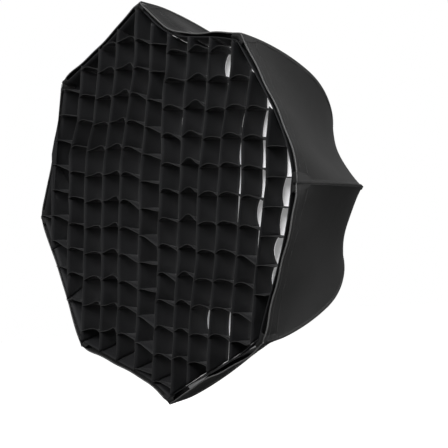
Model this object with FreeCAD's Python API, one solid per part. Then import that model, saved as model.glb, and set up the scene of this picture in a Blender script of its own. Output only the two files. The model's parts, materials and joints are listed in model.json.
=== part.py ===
"""Octagonal folding softbox, 600 mm across its rib tips.

Frame: +Y is the optical axis and points back towards the lamp, +Z is up and +X is to the right as seen from
the front. The origin is on the axis, on the rear seating face of the mount adapter. The front of the canopy
faces -Y. Every part that belongs to a rib is drawn once in the rib's own plane, with X as the radius, Y as
the axis and Z as the sideways direction, and is then turned about Y to each of the eight rib angles.
"""

import FreeCAD, Part
import math
import os

from FreeCAD import Vector

os.makedirs("parts", exist_ok=True)

# ---- Driving dimensions, mm and degrees ----
RIB_COUNT = 8
FIRST_RIB_ANGLE = 90.0
TIP_RADIUS = 300.0
CANOPY_DEPTH = 302.43
CANOPY_REAR_Y = -12.0
RIB_ROOT_RADIUS = 61.29
RIB_ARCS = ((164.21, 42.34), (313.40, 21.25), (712.60, 14.29))  # radius and turn, from the root to the tip
SAG_FRONT, SAG_RISE, SAG_FALL = 0.0285, 0.3418, 0.2945  # inward sag of a panel's middle, as a share of radius
ROUNDING_START = 0.80
CLOTH = 1.2
SEAM_GAP = 0.2

ROD_RADIUS = 2.2
ROD_INSET = 7.0
ROD_START_RADIUS = 86.0

PIVOT_RADIUS = 64.0
PIVOT_Y = -22.4
PIN_RADIUS = 1.6
PIN_RUNNING_GAP = 0.06
BRACKET_WIDTH = 8.0
BRACKET_END_RADIUS = 132.0
SPINE_START_RADIUS = 80.0
BOSS_RADIUS = 5.3
EAR_RADIUS = 6.0
SPINE_TOP_INSET = 3.6
SPINE_FOOT_INSET = 10.4
EAR_THICKNESS = 1.9
STRUT_THICKNESS = 3.4
STRUT_EYE_RADIUS = 3.4
STRUT_PIN_X = 109.0
STRUT_PIN_Y = -35.5
STRUT_SLOT_REACH = 3.2
STRUT_SLOT_HALF_WIDTH = 2.7
STRUT_SLOT_ACROSS, STRUT_SLOT_ALONG = 0.93, 0.36  # direction of the slot's short way, outwards and rearwards
NECK_OUTLINE = ((64.0, -17.4), (81.0, -17.4), (81.0, -24.2), (64.0, -27.0))  # radius and Y in the rib plane
EAR_OUTLINE = ((101.0, -25.6), (121.0, -30.5), (115.0, -39.7), (102.0, -39.1))
EAR_GAP_OUTLINE = ((80.0, -25.0), (109.0, -29.1), (109.0, -50.0), (80.0, -50.0))
RUNNER_TRAVEL = 56.6

BORE_RADIUS = 46.0
ADAPTER_RADIUS = 54.2
SLEEVE_FRONT_Y = -32.2
FLANGE_RADIUS = 57.6
FLANGE_FRONT_Y = -5.8
SPIGOT_RADIUS = 50.0
SPIGOT_LENGTH = 12.0
LUG_COUNT = 3
LUG_REACH = 3.5
LUG_LENGTH = 4.0
LUG_HALF_WIDTH = 9.0
SNAP_RING_RADIUS = 58.0
SNAP_RING_FRONT_Y = -31.8
SNAP_RING_REAR_Y = -30.3
SNAP_RING_GAP = 8.0
HOUSING_RADIUS = 71.8
HOUSING_FRONT_Y = -30.0
HOUSING_REAR_Y = -13.4
COVER_REAR_Y = -6.0
CUFF_INNER_RADIUS = 58.8
CUFF_RADIUS = 71.6
POST_ANGLE_OFFSET = 22.5
POST_CIRCLE_RADIUS = 61.0
POST_RADIUS = 3.0
POST_INDEXES = (0, 2, 4, 6)  # bays with a guide post, a button or a screw alone, from the first rib
BUTTON_INDEXES = (1, 5)
SCREW_INDEXES = (3, 7)
POST_ROOT_Y = -20.2
POST_STOP_CLEARANCE = 8.0
POST_STOP_LENGTH = 3.0
POST_STOP_STEP = 2.0
SCREW_RADIUS = 1.25
SCREW_HEAD_RADIUS = 2.8
SCREW_HEAD_DEPTH = 2.35
SCREW_TIP_Y = -25.0
SCREW_SLOT_HALF_LENGTH = 1.8
SCREW_SLOT_HALF_WIDTH = 0.4
PIVOT_PIN_HALF_LENGTH = 8.6
COVER_BORE_RADIUS = 58.2
COVER_CHAMFER = 2.5
HUB_SLOT_INNER_RADIUS = 57.6
BUTTON_WELL_Y = -27.0
BUTTON_FOOT_Y = -20.0
BUTTON_DISH_RADIUS = 14.0
SPRING_RADII = (4.0, 3.2)
STRUT_PIN_HALF_LENGTH = 7.0
STRUT_HALF_HEIGHT = 2.6
RUNNER_THICKNESS = 14.0
RUNNER_INNER_RADIUS = 54.6
RUNNER_RADIUS = 69.0
RUNNER_SLOT_RADIUS = 59.6
BUTTON_CIRCLE_RADIUS = 66.0
BUTTON_RADIUS = 5.0
BUTTON_TRAVEL = 3.0
BUTTON_GAP = 0.3
FIXED_FIT = 0.02

DIFFUSER_DEPTH = 34.0
DIFFUSER_THICKNESS = 1.2
DIFFUSER_CORNER_RADIUS = 274.5
DIFFUSER_SIDE_RADIUS = 249.0
BAND_THICKNESS = 1.6
BAND_MARGIN = 1.0
BAND_INNER_CORNER_RADIUS = 254.0
BAND_INNER_SIDE_RADIUS = 228.0
GRID_FRONT = -7.0
GRID_REAR = 33.0
GRID_FRONT_RADII = (290.0, 263.0)  # at a corner and at the middle of a side
GRID_REAR_RADII = (276.5, 250.5)
GRID_BORDER_THICKNESS = 1.6
GRID_STRIP_GAP = 0.2
GRID_COLUMN_PITCH = 45.0
GRID_ROW_PITCH = 41.0
GRID_STRIPS_EACH_SIDE = 6
GRID_TURN = 10.0
STRIP_THICKNESS = 1.0
SMALLEST_STRIP = 400.0  # a cut end with less cloth than this, in cubic mm, is left out
INNER_DIFFUSER_DEPTH = 140.0
INNER_DIFFUSER_RADIUS = 206.0
INNER_DIFFUSER_SIDE_SHARE = 0.88
INNER_DIFFUSER_THICKNESS = 1.4
STRAP_END_RADIUS = 229.0
STRAP_OVERLAP = 10.0
STRAP_WIDTH = 8.0
STRAP_THICKNESS = 1.2
LOOP_RADIUS = 4.0
LOOP_HOLE_RADIUS = 2.4
LOOP_HALF_WIDTH = 3.0

FRONT_Y = CANOPY_REAR_Y - CANOPY_DEPTH
RIB_STEP = 360.0 / RIB_COUNT
HALF_STEP = RIB_STEP / 2.0
RIB_ANGLES = [FIRST_RIB_ANGLE + RIB_STEP * k for k in range(RIB_COUNT)]
Y_AXIS, Z_AXIS = Vector(0, 1, 0), Vector(0, 0, 1)
ORIGIN = Vector(0, 0, 0)


# ---- Helpers ----
def export(name, shape):
    """Write one node, after checking that its solids are sound."""
    if not shape.isValid():
        raise RuntimeError(name + " is not a valid shape")
    shape.exportStep("parts/" + name + ".step")


def turned(shape, angle):
    """Turn a shape drawn in the rib plane, about the optical axis, to a rib angle."""
    result = shape.copy()
    result.rotate(ORIGIN, Y_AXIS, -angle)
    return result


def group(shapes):
    return Part.makeCompound(shapes)


def tube(outer, inner, y_front, y_rear):
    """Ring on the optical axis between two Y planes."""
    length = y_rear - y_front
    base = Vector(0, y_front, 0)
    return Part.makeCylinder(outer, length, base, Y_AXIS).cut(Part.makeCylinder(inner, length, base, Y_AXIS))


def rod_along_y(radius, x, y_front, y_rear):
    return Part.makeCylinder(radius, y_rear - y_front, Vector(x, y_front, 0), Y_AXIS)


def pin_across(radius, x, y, half_length):
    """Cylinder across the rib plane, centred on it."""
    return Part.makeCylinder(radius, 2 * half_length, Vector(x, y, -half_length), Z_AXIS)


def block(x, y, half_width):
    """Box given by an x pair, a y pair and half its sideways width."""
    return Part.makeBox(x[1] - x[0], y[1] - y[0], 2 * half_width, Vector(x[0], y[0], -half_width))


def plate(points, half_width):
    """Flat polygon in the rib plane, thickened equally to both sides."""
    corners = [Vector(x, y, -half_width) for x, y in points]
    face = Part.Face(Part.makePolygon(corners + corners[:1]))
    return face.extrude(Vector(0, 0, 2 * half_width))


def arc_centre(heading, point, radius):
    """Centre of an arc that starts at a point with a heading, 0 being outwards and 90 towards the front."""
    return Vector(point.x - radius * math.sin(heading), point.y - radius * math.cos(heading), 0)


def profile_arcs(inset):
    """Rib profile as arcs: centre, radius, start heading and end heading, each moved inwards by inset."""
    arcs = []
    heading = 0.0
    point = Vector(RIB_ROOT_RADIUS, CANOPY_REAR_Y, 0)
    for radius, turn in RIB_ARCS:
        centre = arc_centre(heading, point, radius)
        end = heading + math.radians(turn)
        arcs.append((centre, radius - inset, heading, end))
        point = Vector(centre.x + radius * math.sin(end), centre.y + radius * math.cos(end), 0)
        heading = end
    return arcs


def arc_point(centre, radius, heading):
    return Vector(centre.x + radius * math.sin(heading), centre.y + radius * math.cos(heading), 0)


PROFILE_LENGTH = sum(radius * math.radians(turn) for radius, turn in RIB_ARCS)


def profile_point(fraction, inset):
    """Point on the rib profile; fraction is 0 at the tip and 1 at the root, along the uninset curve."""
    left = (1.0 - fraction) * PROFILE_LENGTH
    for (centre, radius, start, end), (full_radius, _) in zip(profile_arcs(inset), RIB_ARCS):
        span = full_radius * (end - start)
        if left <= span + 1e-6:
            return arc_point(centre, radius, start + left / full_radius)
        left -= span
    raise ValueError("fraction is off the profile")


def heading_at_radius(radius_from_axis, inset):
    """Heading on the first arc at a given distance from the axis."""
    centre, radius, _, _ = profile_arcs(inset)[0]
    return math.asin((radius_from_axis - centre.x) / radius)


def profile_edges(inset, start_heading, trim=0.0):
    """Arc edges of the inset rib profile, from a heading on the first arc to trim degrees off the tip."""
    edges = []
    arcs = profile_arcs(inset)
    for index, (centre, radius, start, end) in enumerate(arcs):
        first = start_heading if index == 0 else start
        last = end - math.radians(trim) if index == len(arcs) - 1 else end
        points = [arc_point(centre, radius, h) for h in (first, (first + last) / 2, last)]
        edges.append(Part.Arc(*points).toShape())
    return edges


def concave_octagon(corner_radius, side_radius, y):
    """Closed wire through the rib angles at one radius, its sides pulled in to another."""
    edges = []
    for angle in RIB_ANGLES:
        a, m, b = (math.radians(angle + HALF_STEP * i) for i in range(3))
        start = Vector(corner_radius * math.cos(a), y, corner_radius * math.sin(a))
        middle = Vector(side_radius * math.cos(m), y, side_radius * math.sin(m))
        end = Vector(corner_radius * math.cos(b), y, corner_radius * math.sin(b))
        edges.append(Part.Arc(start, middle, end).toShape())
    return Part.Wire(edges)


def octagon_slab(corner_radius, side_radius, y_front, y_rear):
    face = Part.Face(concave_octagon(corner_radius, side_radius, y_front))
    return face.extrude(Vector(0, y_rear - y_front, 0))


# ---- Mount adapter ----
def mount_adapter():
    """Ring that the lamp's bayonet holds: bearing sleeve, seating flange, spigot and three lugs."""
    sleeve = tube(ADAPTER_RADIUS, BORE_RADIUS, SLEEVE_FRONT_Y, FLANGE_FRONT_Y)
    flange = tube(FLANGE_RADIUS, BORE_RADIUS, FLANGE_FRONT_Y, 0.0)
    spigot = tube(SPIGOT_RADIUS, BORE_RADIUS, 0.0, SPIGOT_LENGTH)
    body = sleeve.fuse(flange).fuse(spigot)
    lug_x = (SPIGOT_RADIUS - 1.0, SPIGOT_RADIUS + LUG_REACH)
    lug_y = (SPIGOT_LENGTH - LUG_LENGTH, SPIGOT_LENGTH)
    lug = block(lug_x, lug_y, LUG_HALF_WIDTH)
    for index in range(LUG_COUNT):
        body = body.fuse(turned(lug, FIRST_RIB_ANGLE + 360.0 / LUG_COUNT * index))
    return body.removeSplitter()


def retaining_ring():
    """Split snap ring in front of the housing, which keeps the adapter in its bore."""
    ring = tube(SNAP_RING_RADIUS, ADAPTER_RADIUS + 0.05, SNAP_RING_FRONT_Y, SNAP_RING_REAR_Y)
    gap_y = (SNAP_RING_FRONT_Y - 1, SNAP_RING_REAR_Y + 1)
    return ring.cut(block((BORE_RADIUS, SNAP_RING_RADIUS + 2), gap_y, SNAP_RING_GAP / 2))


# ---- Hub ----
def at_rib_angles(shape):
    return [turned(shape, angle) for angle in RIB_ANGLES]


def turned_between(shape, indexes):
    return [turned(shape, RIB_ANGLES[i] + POST_ANGLE_OFFSET) for i in indexes]


def hub_housing():
    """Moulded ring with a slot for each rib bracket and pockets for posts, buttons and screws."""
    body = tube(HOUSING_RADIUS, ADAPTER_RADIUS + 0.1, HOUSING_FRONT_Y, HOUSING_REAR_Y)
    slot_x, slot_y = (HUB_SLOT_INNER_RADIUS, HOUSING_RADIUS + 2), (HOUSING_FRONT_Y - 1, HOUSING_REAR_Y - 1.8)
    slot = block(slot_x, slot_y, BRACKET_WIDTH / 2 + 0.5)
    pin_hole = pin_across(PIN_RADIUS + FIXED_FIT, PIVOT_RADIUS, PIVOT_Y, PIVOT_PIN_HALF_LENGTH + 0.4)
    post_gap = POST_RADIUS + FIXED_FIT
    post_hole = rod_along_y(post_gap, POST_CIRCLE_RADIUS, HOUSING_FRONT_Y - 1, POST_ROOT_Y + 0.2)
    rear = HOUSING_REAR_Y + 1
    button_well = rod_along_y(BUTTON_RADIUS + BUTTON_GAP, BUTTON_CIRCLE_RADIUS, BUTTON_WELL_Y, rear)
    screw_hole = rod_along_y(SCREW_RADIUS + FIXED_FIT, BUTTON_CIRCLE_RADIUS, SCREW_TIP_Y - 1, rear)
    cutters = at_rib_angles(slot) + at_rib_angles(pin_hole)
    cutters += turned_between(post_hole, POST_INDEXES) + turned_between(button_well, BUTTON_INDEXES)
    cutters += turned_between(screw_hole, POST_INDEXES + SCREW_INDEXES)
    return body.cut(group(cutters))


def cover_holes():
    """Holes through the cuff and cover for the screws and the two buttons."""
    front, rear = HOUSING_REAR_Y - 0.6, COVER_REAR_Y + 1
    screw = rod_along_y(SCREW_RADIUS + 0.35, BUTTON_CIRCLE_RADIUS, front, rear)
    head_y = COVER_REAR_Y - SCREW_HEAD_DEPTH
    head = rod_along_y(SCREW_HEAD_RADIUS + 0.3, BUTTON_CIRCLE_RADIUS, head_y - 0.05, rear)
    button = rod_along_y(BUTTON_RADIUS + BUTTON_GAP, BUTTON_CIRCLE_RADIUS, front, rear)
    holes = turned_between(screw, POST_INDEXES + SCREW_INDEXES)
    return holes, turned_between(head, POST_INDEXES + SCREW_INDEXES), turned_between(button, BUTTON_INDEXES)


def hub_cover():
    """Rear clamp ring with countersunk screws; it traps the canopy's cuff against the housing."""
    body = tube(HOUSING_RADIUS, COVER_BORE_RADIUS, CANOPY_REAR_Y, COVER_REAR_Y)
    chamfer_start = Vector(0, COVER_REAR_Y - COVER_CHAMFER, 0)
    rim = Part.makeCone(HOUSING_RADIUS, HOUSING_RADIUS - COVER_CHAMFER, COVER_CHAMFER, chamfer_start, Y_AXIS)
    band = Part.makeCylinder(HOUSING_RADIUS + 1, COVER_CHAMFER, chamfer_start, Y_AXIS)
    screws, heads, buttons = cover_holes()
    return body.cut(band.cut(rim)).cut(group(screws + heads + buttons))


def rear_cuff():
    """Doubled cloth ring at the back of the canopy, clamped between the housing and the cover."""
    screws, _, buttons = cover_holes()
    return tube(CUFF_RADIUS, CUFF_INNER_RADIUS, HOUSING_REAR_Y, CANOPY_REAR_Y).cut(group(screws + buttons))


def hub_screws():
    """Six pan-head screws that hold the cover."""
    head_y = COVER_REAR_Y - SCREW_HEAD_DEPTH
    shank = rod_along_y(SCREW_RADIUS, BUTTON_CIRCLE_RADIUS, SCREW_TIP_Y, head_y + 0.05)
    head = rod_along_y(SCREW_HEAD_RADIUS, BUTTON_CIRCLE_RADIUS, head_y, COVER_REAR_Y - 0.3)
    recess_x = (BUTTON_CIRCLE_RADIUS - SCREW_SLOT_HALF_LENGTH, BUTTON_CIRCLE_RADIUS + SCREW_SLOT_HALF_LENGTH)
    recess = block(recess_x, (COVER_REAR_Y - 1.2, COVER_REAR_Y), SCREW_SLOT_HALF_WIDTH)
    cross = recess.fuse(turned_about(recess, BUTTON_CIRCLE_RADIUS, 90.0))
    return group(turned_between(shank.fuse(head).cut(cross), POST_INDEXES + SCREW_INDEXES))


def turned_about(shape, x, angle):
    """Turn a shape about an axis parallel to Y at radius x in the rib plane."""
    result = shape.copy()
    result.rotate(Vector(x, 0, 0), Y_AXIS, angle)
    return result


def rib_pivot_pins():
    return group(at_rib_angles(pin_across(PIN_RADIUS, PIVOT_RADIUS, PIVOT_Y, PIVOT_PIN_HALF_LENGTH)))


def guide_posts():
    """Four rods on which the runner slides, each with an end stop."""
    stop_y = runner_y() - RUNNER_THICKNESS / 2 - RUNNER_TRAVEL - POST_STOP_CLEARANCE
    post = rod_along_y(POST_RADIUS, POST_CIRCLE_RADIUS, stop_y, POST_ROOT_Y)
    stop = rod_along_y(POST_RADIUS + POST_STOP_STEP, POST_CIRCLE_RADIUS, stop_y - POST_STOP_LENGTH, stop_y)
    return group(turned_between(post.fuse(stop), POST_INDEXES))


def release_button():
    """Push button with a dished cap and a stem."""
    dish_y = COVER_REAR_Y + BUTTON_TRAVEL
    cap = rod_along_y(BUTTON_RADIUS, BUTTON_CIRCLE_RADIUS, BUTTON_FOOT_Y, dish_y + 0.8)
    dish = Part.makeSphere(BUTTON_DISH_RADIUS, Vector(BUTTON_CIRCLE_RADIUS, dish_y + BUTTON_DISH_RADIUS, 0))
    return cap.cut(dish)


def button_springs():
    """Coil springs under the buttons, drawn as the sleeves that they fill."""
    front, rear = BUTTON_WELL_Y + 0.2, BUTTON_FOOT_Y - 0.2
    outer, inner = (rod_along_y(radius, BUTTON_CIRCLE_RADIUS, front, rear) for radius in SPRING_RADII)
    return group(turned_between(outer.cut(inner), BUTTON_INDEXES))


# ---- Runner and struts ----
def runner_y():
    """Y of the strut pins in the runner; the strut and the bracket arm mirror each other at rest."""
    return 2 * STRUT_PIN_Y - PIVOT_Y


def runner_ring():
    """Sliding ring with a slot and a pin for each strut and four guide holes."""
    y = runner_y()
    front, rear = y - RUNNER_THICKNESS / 2, y + RUNNER_THICKNESS / 2
    body = tube(RUNNER_RADIUS, RUNNER_INNER_RADIUS, front, rear)
    slot = block((RUNNER_SLOT_RADIUS, RUNNER_RADIUS + 2), (front - 1, rear + 1), STRUT_THICKNESS / 2 + 0.4)
    pin_hole = pin_across(PIN_RADIUS + FIXED_FIT, PIVOT_RADIUS, y, STRUT_PIN_HALF_LENGTH + 0.2)
    post_hole = rod_along_y(POST_RADIUS + 0.08, POST_CIRCLE_RADIUS, front - 1, rear + 1)
    cutters = at_rib_angles(slot) + at_rib_angles(pin_hole) + turned_between(post_hole, POST_INDEXES)
    return body.cut(group(cutters))


def strut_pins():
    return group(at_rib_angles(pin_across(PIN_RADIUS, PIVOT_RADIUS, runner_y(), STRUT_PIN_HALF_LENGTH)))


def strut():
    """Flat link from the runner's pin to the bracket, with its own cross pin at the bracket end."""
    start = Vector(PIVOT_RADIUS, runner_y(), 0)
    end = Vector(STRUT_PIN_X, STRUT_PIN_Y, 0)
    along = (end - start).normalize()
    side = Vector(-along.y, along.x, 0) * STRUT_HALF_HEIGHT
    corners = [start + side, end + side, end - side, start - side]
    half = STRUT_THICKNESS / 2
    body = plate([(c.x, c.y) for c in corners], half)
    for eye in (start, end):
        body = body.fuse(pin_across(STRUT_EYE_RADIUS, eye.x, eye.y, half))
    body = body.cut(pin_across(PIN_RADIUS + PIN_RUNNING_GAP, start.x, start.y, half + 1))
    return body.fuse(pin_across(PIN_RADIUS, end.x, end.y, BRACKET_WIDTH / 2)).removeSplitter()


# ---- Ribs ----
def rod_path():
    return Part.Wire(profile_edges(ROD_INSET, heading_at_radius(ROD_START_RADIUS, ROD_INSET), 0.12))


def swept_rod(radius):
    """Round rod along the inset rib profile."""
    path = rod_path()
    start = path.Edges[0].valueAt(path.Edges[0].FirstParameter)
    direction = path.Edges[0].tangentAt(path.Edges[0].FirstParameter)
    section = Part.Wire([Part.Circle(start, direction, radius).toShape()])
    return path.makePipeShell([section], True, False)


def rib_rod():
    return swept_rod(ROD_RADIUS)


def rib_bracket():
    """Root bracket: pivot boss, neck, a spine that holds the rod and two slotted ears for the strut's pin."""
    half = BRACKET_WIDTH / 2
    first = heading_at_radius(SPINE_START_RADIUS, 0.0)
    last = heading_at_radius(BRACKET_END_RADIUS, 0.0)
    rim = []
    for inset, (a, b) in ((SPINE_TOP_INSET, (first, last)), (SPINE_FOOT_INSET, (last, first))):
        centre, radius, _, _ = profile_arcs(inset)[0]
        points = [arc_point(centre, radius, h) for h in (a, (a + b) / 2, b)]
        rim.append(Part.Arc(*points).toShape())
    ends = [Part.makeLine(rim[0].Vertexes[-1].Point, rim[1].Vertexes[0].Point)]
    ends.append(Part.makeLine(rim[1].Vertexes[-1].Point, rim[0].Vertexes[0].Point))
    outline = Part.Wire([rim[0], ends[0], rim[1], ends[1]])
    spine = Part.Face(outline).extrude(Vector(0, 0, BRACKET_WIDTH))
    spine.translate(Vector(0, 0, -half))
    neck = plate(NECK_OUTLINE, half)
    boss = pin_across(BOSS_RADIUS, PIVOT_RADIUS, PIVOT_Y, half)
    ears = plate(EAR_OUTLINE, half).fuse(pin_across(EAR_RADIUS, STRUT_PIN_X, STRUT_PIN_Y, half))
    gap = pin_across(STRUT_EYE_RADIUS + STRUT_SLOT_REACH, STRUT_PIN_X, STRUT_PIN_Y, half - EAR_THICKNESS)
    inward = plate(EAR_GAP_OUTLINE, half - EAR_THICKNESS)
    body = spine.fuse(neck).fuse(boss).fuse(ears.cut(inward)).cut(gap)
    body = body.cut(pin_across(PIN_RADIUS + PIN_RUNNING_GAP, PIVOT_RADIUS, PIVOT_Y, half + 1))
    body = body.cut(pin_slot()).cut(swept_rod(ROD_RADIUS + 0.03))
    return body.removeSplitter()


def pin_slot():
    """Slot that lets the strut's pin wander while the runner and the ribs keep a constant ratio."""
    reach = Vector(-STRUT_SLOT_ALONG, STRUT_SLOT_ACROSS, 0) * STRUT_SLOT_REACH
    centre = Vector(STRUT_PIN_X, STRUT_PIN_Y, 0)
    side = Vector(STRUT_SLOT_ACROSS, STRUT_SLOT_ALONG, 0) * STRUT_SLOT_HALF_WIDTH
    corners = [centre + reach + side, centre - reach + side, centre - reach - side, centre + reach - side]
    slot = plate([(c.x, c.y) for c in corners], BRACKET_WIDTH)
    for end in (centre + reach, centre - reach):
        slot = slot.fuse(pin_across(STRUT_SLOT_HALF_WIDTH, end.x, end.y, BRACKET_WIDTH))
    return slot


# ---- Canopy ----
def canopy_point(fraction, across, inset):
    """Point on a half panel: across is 0 at the rib and 0.5 midway to the next rib."""
    rib = profile_point(fraction, inset)
    step, half = math.radians(RIB_STEP), math.radians(HALF_STEP)
    flat_x = rib.x * ((1 - across) + across * math.cos(step))
    flat_z = rib.x * across * math.sin(step)
    sag = SAG_FRONT + SAG_RISE * fraction - SAG_FALL * fraction ** 2
    pull = 4 * across * (1 - across) * sag * rib.x
    flat_x -= pull * math.cos(half)
    flat_z -= pull * math.sin(half)
    angle = step * across
    share = max(0.0, min(1.0, (fraction - ROUNDING_START) / (canopy_root() - ROUNDING_START)))
    share = share * share * (3 - 2 * share)
    x = flat_x * (1 - share) + rib.x * math.cos(angle) * share
    z = flat_z * (1 - share) + rib.x * math.sin(angle) * share
    if across == 0:
        z += SEAM_GAP
    if across == 0.5:
        x += SEAM_GAP * math.sin(half)
        z -= SEAM_GAP * math.cos(half)
    return Vector(x, rib.y, z)


def canopy_root():
    """Fraction at which the canopy meets the cuff."""
    heading = heading_at_radius(CUFF_RADIUS + 0.6, 0.0)
    return 1.0 - heading * RIB_ARCS[0][0] / PROFILE_LENGTH


def canopy_surface(inset, rows=13, columns=5):
    surface = Part.BSplineSurface()
    fractions = [canopy_root() * i / (rows - 1) for i in range(rows)]
    shares = [0.5 * j / (columns - 1) for j in range(columns)]
    surface.interpolate([[canopy_point(f, a, inset) for a in shares] for f in fractions])
    return surface


def half_panel():
    """Half of one cloth panel, from its rib to the middle of the bay, as a thin closed solid."""
    outer, inner = canopy_surface(0.0), canopy_surface(CLOTH)
    faces = [outer.toShape(), inner.toShape()]
    for which in (0, 1):
        for iso in ("uIso", "vIso"):
            edges = [getattr(s, iso)(float(which)).toShape() for s in (outer, inner)]
            faces.append(Part.makeRuledSurface(*edges))
    shell = Part.makeShell(faces)
    shell.sewShape()
    solid = Part.makeSolid(shell)
    if solid.Volume < 0:
        solid.reverse()
    return solid


# ---- Diffusers and grid ----
def depth_y(depth):
    return FRONT_Y + depth


def front_diffuser():
    """White front cloth, set back inside the canopy's lip."""
    front, rear = depth_y(DIFFUSER_DEPTH), depth_y(DIFFUSER_DEPTH + DIFFUSER_THICKNESS)
    return octagon_slab(DIFFUSER_CORNER_RADIUS, DIFFUSER_SIDE_RADIUS, front, rear)


def diffuser_band():
    """Hook-and-loop hem behind the edge of the front diffuser."""
    front = depth_y(DIFFUSER_DEPTH + DIFFUSER_THICKNESS)
    rear = front + BAND_THICKNESS
    band = octagon_slab(DIFFUSER_CORNER_RADIUS - BAND_MARGIN, DIFFUSER_SIDE_RADIUS - BAND_MARGIN, front, rear)
    return band.cut(octagon_slab(BAND_INNER_CORNER_RADIUS, BAND_INNER_SIDE_RADIUS, front - 1, rear + 1))


def grid_envelope(allowance):
    """Tapered octagon that the grid fills, smaller at the back."""
    ends = []
    for (corner, side), depth in ((GRID_FRONT_RADII, GRID_FRONT), (GRID_REAR_RADII, GRID_REAR)):
        ends.append(concave_octagon(corner - allowance, side - allowance, depth_y(depth)))
    return Part.makeLoft(ends, True, True)


def grid_border():
    return grid_envelope(0.0).cut(grid_envelope(GRID_BORDER_THICKNESS))


def grid_strips(upright):
    """Parallel cloth strips on edge; the two directions halve into each other at every crossing."""
    count = range(-GRID_STRIPS_EACH_SIDE, GRID_STRIPS_EACH_SIDE + 1)
    columns, rows = ([pitch * i for i in count] for pitch in (GRID_COLUMN_PITCH, GRID_ROW_PITCH))
    lines, crossings = (columns, rows) if upright else (rows, columns)
    depth = GRID_REAR - GRID_FRONT
    reach = TIP_RADIUS
    half = STRIP_THICKNESS / 2
    inside = grid_envelope(GRID_BORDER_THICKNESS + GRID_STRIP_GAP)
    middle_y = depth_y(GRID_FRONT + depth / 2)
    strips = []
    for place in lines:
        corner = Vector(place - half, depth_y(GRID_FRONT), -reach)
        strip = Part.makeBox(STRIP_THICKNESS, depth, 2 * reach, corner)
        notch_y = middle_y - 0.2 if upright else depth_y(GRID_FRONT) - 1
        notches = []
        for crossing in crossings:
            corner = Vector(place - 2, notch_y, crossing - half - 0.15)
            notches.append(Part.makeBox(4, depth / 2 + 1.2, STRIP_THICKNESS + 0.3, corner))
        strip = strip.cut(group(notches))
        if not upright:
            strip.rotate(ORIGIN, Y_AXIS, 90)
        strip.rotate(ORIGIN, Y_AXIS, GRID_TURN)
        strips += [piece for piece in strip.common(inside).Solids if piece.Volume > SMALLEST_STRIP]
    return group(strips)


def inner_diffuser():
    """Small round-cornered diffuser that hangs in front of the lamp."""
    front = depth_y(INNER_DIFFUSER_DEPTH)
    side = INNER_DIFFUSER_RADIUS * INNER_DIFFUSER_SIDE_SHARE
    return octagon_slab(INNER_DIFFUSER_RADIUS, side, front, front + INNER_DIFFUSER_THICKNESS)


def inner_diffuser_straps():
    """Eight elastic straps from the inner diffuser's corners towards the ribs."""
    front = depth_y(INNER_DIFFUSER_DEPTH)
    start, end = INNER_DIFFUSER_RADIUS - STRAP_OVERLAP, STRAP_END_RADIUS
    strap = block((start, end), (front - STRAP_THICKNESS, front), STRAP_WIDTH / 2)
    eye = (end + 1.0, front - STRAP_THICKNESS / 2)
    loop = pin_across(LOOP_RADIUS, *eye, LOOP_HALF_WIDTH).cut(pin_across(LOOP_HOLE_RADIUS, *eye, STRAP_WIDTH))
    return group(at_rib_angles(strap.fuse(loop)))


# ---- Build ----
def main():
    export("mount_adapter", mount_adapter())
    export("retaining_ring", retaining_ring())
    export("hub_housing", hub_housing())
    export("hub_cover", hub_cover())
    export("rear_cuff", rear_cuff())
    export("hub_screws", hub_screws())
    export("rib_pivot_pins", rib_pivot_pins())
    export("guide_posts", guide_posts())
    export("button_springs", button_springs())
    for side, index in zip(("left", "right"), BUTTON_INDEXES):
        export("release_button_" + side, turned_between(release_button(), (index,))[0])
    export("runner_ring", runner_ring())
    export("strut_pins", strut_pins())
    one_bracket, one_rod, one_strut = rib_bracket(), rib_rod(), strut()
    panel = half_panel()
    mirrored_panel = panel.mirror(ORIGIN, Z_AXIS)
    for number, angle in enumerate(RIB_ANGLES, start=1):
        export("rib_bracket_%d" % number, turned(one_bracket, angle))
        export("rib_rod_%d" % number, turned(one_rod, angle))
        export("strut_%d" % number, turned(one_strut, angle))
        export("canopy_panel_%d_ahead" % number, turned(panel, angle))
        export("canopy_panel_%d_behind" % number, turned(mirrored_panel, angle))
    export("front_diffuser", front_diffuser())
    export("diffuser_band", diffuser_band())
    export("grid_strips_upright", grid_strips(True))
    export("grid_strips_level", grid_strips(False))
    export("grid_border", grid_border())
    export("inner_diffuser", inner_diffuser())
    export("inner_diffuser_straps", inner_diffuser_straps())


main()
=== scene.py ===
"""Looks of the folding octagonal softbox: cloth canopy, diffusers and egg-crate grid on the CAD frame."""

import json
import math
import random

import bmesh
import bpy
import numpy as np
from mathutils import Euler, Matrix, Vector


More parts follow.
